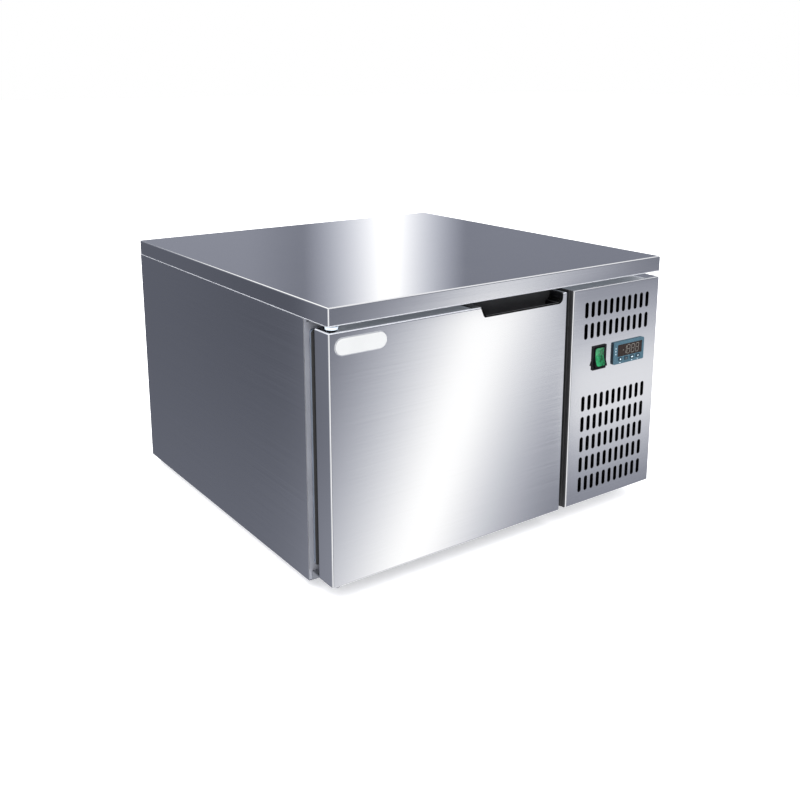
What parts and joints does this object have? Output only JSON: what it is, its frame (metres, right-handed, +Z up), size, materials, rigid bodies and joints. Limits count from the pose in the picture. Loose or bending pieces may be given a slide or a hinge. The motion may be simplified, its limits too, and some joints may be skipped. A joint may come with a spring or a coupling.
{
  "type": "blast chiller",
  "caption": "Countertop blast chiller with a side-hung insulated door, a recessed grip, tray runners, and a slotted control panel over its refrigeration compartment.",
  "frame": {"origin": "under the middle of the whole machine, on the surface that it stands on", "axes": "+Z up, the door and the control panel face -Y, +X to the right seen from the front"},
  "size_m": [0.64, 0.6761, 0.425],
  "materials": {
    "stainless": "polished to a soft sheen, drawn grain",
    "stainless_side": "drawn grain, duller",
    "stainless_inner": "bright annealed sheet",
    "galvanised": "galvanised sheet",
    "wire": "plated wire",
    "board": "moisture-proof board",
    "foam": "closed-cell foam",
    "hinge_steel": "zinc plated",
    "black_steel": "satin black paint",
    "fan_blades": "satin",
    "coil": "bare fins on copper tube",
    "copper": "dull copper",
    "black_plastic": "moulded, fine texture",
    "nylon": "pale nylon",
    "drain_plastic": "plain",
    "rubber": "matt",
    "gasket": "soft grey PVC",
    "controller_face": "satin blue-grey",
    "key_caps": "satin blue-grey",
    "display": "dark tinted window",
    "rocker_green": "translucent green",
    "badge": "white enamelled plate",
    "fasteners": "zinc plated"
  },
  "bodies": {
    "cabinet": {"worktop": "stainless", "worktop_core": "board", "left_side_panel": "stainless_side", "right_side_panel": "stainless", "back_panel": "stainless", "base_plate": "galvanised", "front_frame": "stainless", "partition": "galvanised", "foam_insulation": "foam", "chamber_liner": "stainless_inner", "tray_rack_left": "stainless_inner", "tray_rack_right": "stainless_inner", "evaporator_cover": "stainless_inner", "fan_guard": "wire", "evaporator_fan_bracket": "black_steel", "evaporator_fan_motor": "black_steel", "evaporator_coil": "coil", "drip_tray": "stainless_inner", "drain_pipe": "drain_plastic", "air_probe": "stainless_inner", "feet": "rubber", "machine_bolts": "fasteners", "compressor": "black_steel", "compressor_terminal_cover": "black_plastic", "compressor_grommets": "rubber", "condenser_coil": "coil", "condenser_shroud": "galvanised", "condenser_fan_bracket": "black_steel", "condenser_fan_motor": "black_steel", "filter_drier": "copper", "discharge_line": "copper", "liquid_line": "copper", "suction_line": "copper", "electrical_box": "galvanised", "electrical_box_cover": "galvanised", "control_panel": "stainless", "panel_side_strip": "black_plastic", "controller_housing": "controller_face", "display_window": "display", "switch_housing": "black_plastic", "upper_hinge_plate": "hinge_steel", "upper_hinge_bush": "nylon", "lower_hinge_plate": "hinge_steel", "mains_gland": "black_plastic", "case_screws": "fasteners"},
    "door": {"door_skin": "stainless", "door_foam": "foam", "door_pan": "black_plastic", "door_gasket": "gasket", "door_grip": "black_plastic", "upper_hinge_pin": "hinge_steel", "lower_hinge_bush": "nylon", "badge_plate": "badge"},
    "evaporator_fan": {"evaporator_fan": "fan_blades"},
    "condenser_fan": {"condenser_fan": "fan_blades"},
    "switch_rocker": {"switch_rocker": "rocker_green"},
    "power_key": {"power_key": "key_caps"},
    "down_key": {"down_key": "key_caps"},
    "up_key": {"up_key": "key_caps"},
    "set_key": {"set_key": "key_caps"}
  },
  "joints": [
    {"name": "door_hinge", "type": "hinge", "parent": "cabinet", "child": "door", "pos_m": [-0.308, -0.31795, 0.211], "axis": [0, 0, -1], "range_deg": [0, 110]},
    {"name": "evaporator_fan_spin", "type": "hinge", "parent": "cabinet", "child": "evaporator_fan", "pos_m": [-0.106, 0.17005, 0.208], "axis": [0, 1, 0], "continuous": true},
    {"name": "condenser_fan_spin", "type": "hinge", "parent": "cabinet", "child": "condenser_fan", "pos_m": [0.214, -0.16595, 0.1185], "axis": [0, 1, 0], "continuous": true},
    {"name": "rocker_tilt", "type": "hinge", "parent": "cabinet", "child": "switch_rocker", "pos_m": [0.1835, -0.32695, 0.275], "axis": [1, 0, 0], "range_deg": [0, 16]},
    {"name": "power_key_press", "type": "slide", "parent": "cabinet", "child": "power_key", "axis": [0, 1, 0], "range_m": [0, 0.0008], "stiffness_N_per_m": 400},
    {"name": "down_key_press", "type": "slide", "parent": "cabinet", "child": "down_key", "axis": [0, 1, 0], "range_m": [0, 0.0008], "stiffness_N_per_m": 400},
    {"name": "up_key_press", "type": "slide", "parent": "cabinet", "child": "up_key", "axis": [0, 1, 0], "range_m": [0, 0.0008], "stiffness_N_per_m": 400},
    {"name": "set_key_press", "type": "slide", "parent": "cabinet", "child": "set_key", "axis": [0, 1, 0], "range_m": [0, 0.0008], "stiffness_N_per_m": 400}
  ]
}
